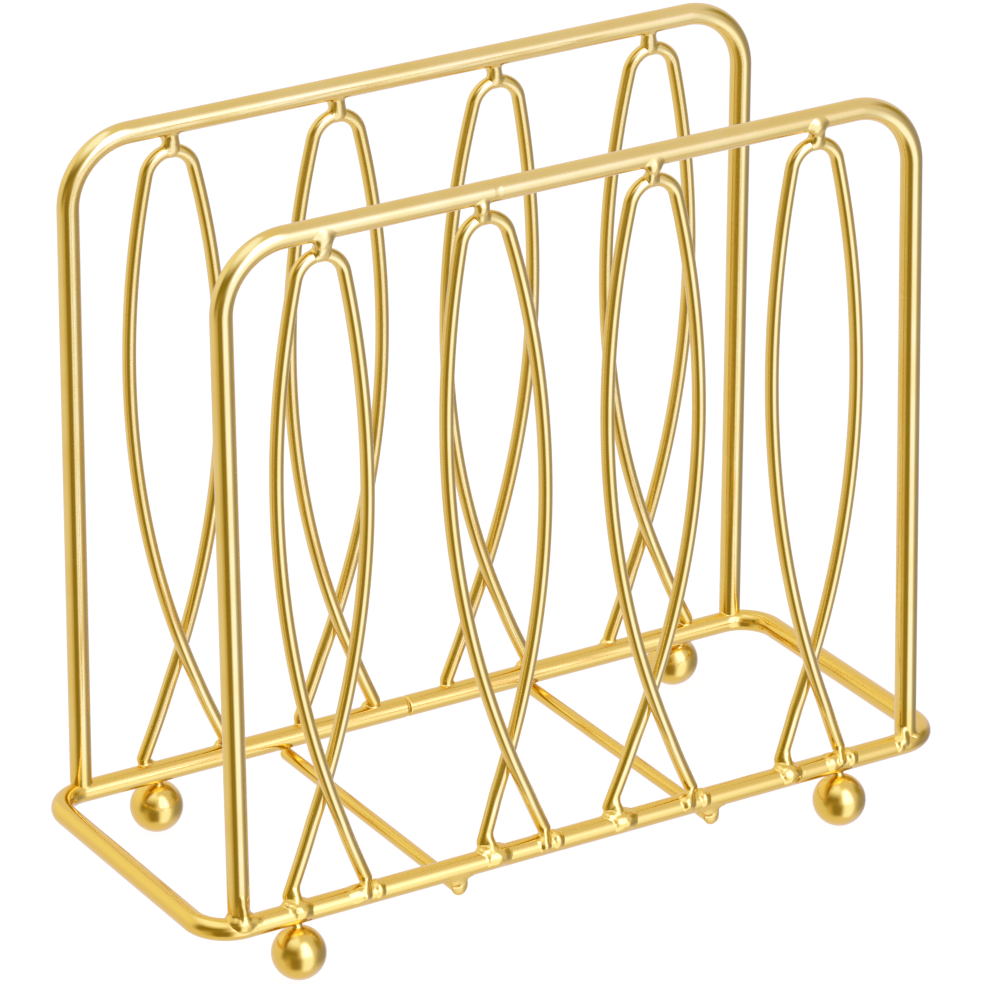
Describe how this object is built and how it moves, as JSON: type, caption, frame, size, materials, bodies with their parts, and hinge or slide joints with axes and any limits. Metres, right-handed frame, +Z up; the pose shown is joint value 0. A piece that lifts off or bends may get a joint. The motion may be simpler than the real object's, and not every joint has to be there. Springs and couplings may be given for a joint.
{
  "type": "napkin_holder",
  "caption": "Free-standing napkin holder of welded gold wire: upright hoops filled with ribbon-shaped loops, on a rounded rectangular base ring with ball feet.",
  "frame": {"origin": "on the table, under the middle of the whole holder", "axes": "+X along the long rails to the right seen from the front, +Y from front to back, +Z up"},
  "size_m": [0.1562, 0.076, 0.1399],
  "materials": {
    "frame_wire": "satin gold",
    "loop_wire": "satin gold",
    "ball_feet": "polished gold",
    "welds": "satin gold over weld metal"
  },
  "bodies": {
    "root": {"ball_foot_front_left": "ball_feet", "ball_foot_front_right": "ball_feet", "ball_foot_rear_left": "ball_feet", "ball_foot_rear_right": "ball_feet", "ball_weld_front_left": "welds", "ball_weld_front_right": "welds", "ball_weld_rear_left": "welds", "ball_weld_rear_right": "welds", "base_ring": "frame_wire", "base_ring_seam_weld": "welds", "cross_weld_front_left": "welds", "cross_weld_front_right": "welds", "cross_weld_rear_left": "welds", "cross_weld_rear_right": "welds", "cross_wire_left": "loop_wire", "cross_wire_right": "loop_wire", "front_hoop": "frame_wire", "front_hoop_weld_left": "welds", "front_hoop_weld_right": "welds", "front_loop_1": "loop_wire", "front_loop_1_left_weld": "welds", "front_loop_1_right_weld": "welds", "front_loop_1_top_weld": "welds", "front_loop_2": "loop_wire", "front_loop_2_left_weld": "welds", "front_loop_2_right_weld": "welds", "front_loop_2_top_weld": "welds", "front_loop_3": "loop_wire", "front_loop_3_left_weld": "welds", "front_loop_3_right_weld": "welds", "front_loop_3_top_weld": "welds", "front_loop_4": "loop_wire", "front_loop_4_left_weld": "welds", "front_loop_4_right_weld": "welds", "front_loop_4_top_weld": "welds", "rear_hoop": "frame_wire", "rear_hoop_weld_left": "welds", "rear_hoop_weld_right": "welds", "rear_loop_1": "loop_wire", "rear_loop_1_left_weld": "welds", "rear_loop_1_right_weld": "welds", "rear_loop_1_top_weld": "welds", "rear_loop_2": "loop_wire", "rear_loop_2_left_weld": "welds", "rear_loop_2_right_weld": "welds", "rear_loop_2_top_weld": "welds", "rear_loop_3": "loop_wire", "rear_loop_3_left_weld": "welds", "rear_loop_3_right_weld": "welds", "rear_loop_3_top_weld": "welds", "rear_loop_4": "loop_wire", "rear_loop_4_left_weld": "welds", "rear_loop_4_right_weld": "welds", "rear_loop_4_top_weld": "welds"}
  },
  "joints": []
}
